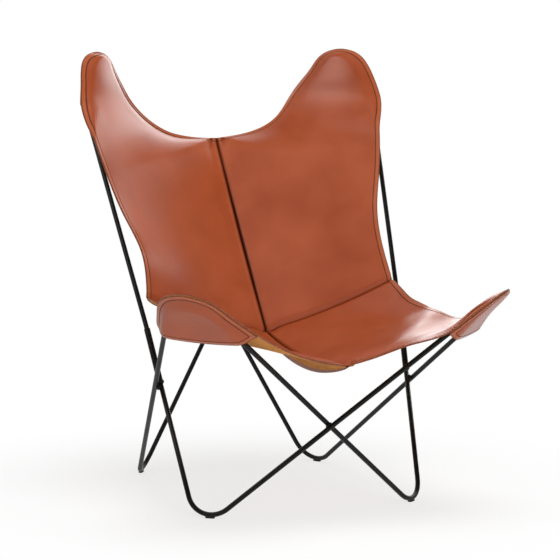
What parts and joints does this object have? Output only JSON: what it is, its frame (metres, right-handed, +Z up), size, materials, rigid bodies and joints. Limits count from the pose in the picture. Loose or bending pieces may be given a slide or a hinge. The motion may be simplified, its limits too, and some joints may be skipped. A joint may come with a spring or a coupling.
{
  "type": "butterfly sling chair",
  "caption": "Low lounge chair: a leather bucket sling hung by corner pockets on the tips of a bent steel rod frame with plug-in back hoops.",
  "frame": {"origin": "on the floor, under the middle of the chair's bounding box", "axes": "+Z up, the sitter faces -Y, +X is to the right as seen from in front of the chair"},
  "size_m": [0.7188, 0.8528, 0.9297],
  "materials": {
    "steel": "black satin powder coat",
    "leather": "cognac saddle leather, smooth semi-gloss grain",
    "rubber": "matt black"
  },
  "bodies": {
    "root": {"back_glide_left": "rubber", "back_glide_right": "rubber", "back_hoop_left": "steel", "back_hoop_right": "steel", "back_panel_left": "leather", "back_panel_right": "leather", "back_pocket_left": "leather", "back_pocket_right": "leather", "back_ring_left": "steel", "back_ring_right": "steel", "back_socket_left": "steel", "back_socket_right": "steel", "back_weld": "steel", "base_rod_left": "steel", "base_rod_right": "steel", "front_glide_left": "rubber", "front_glide_right": "rubber", "front_weld": "steel", "seat_panel_left": "leather", "seat_panel_right": "leather", "seat_pocket_left": "leather", "seat_pocket_right": "leather", "side_ring_left": "steel", "side_ring_right": "steel", "side_socket_left": "steel", "side_socket_right": "steel", "side_weld_left": "steel", "side_weld_right": "steel"}
  },
  "joints": []
}
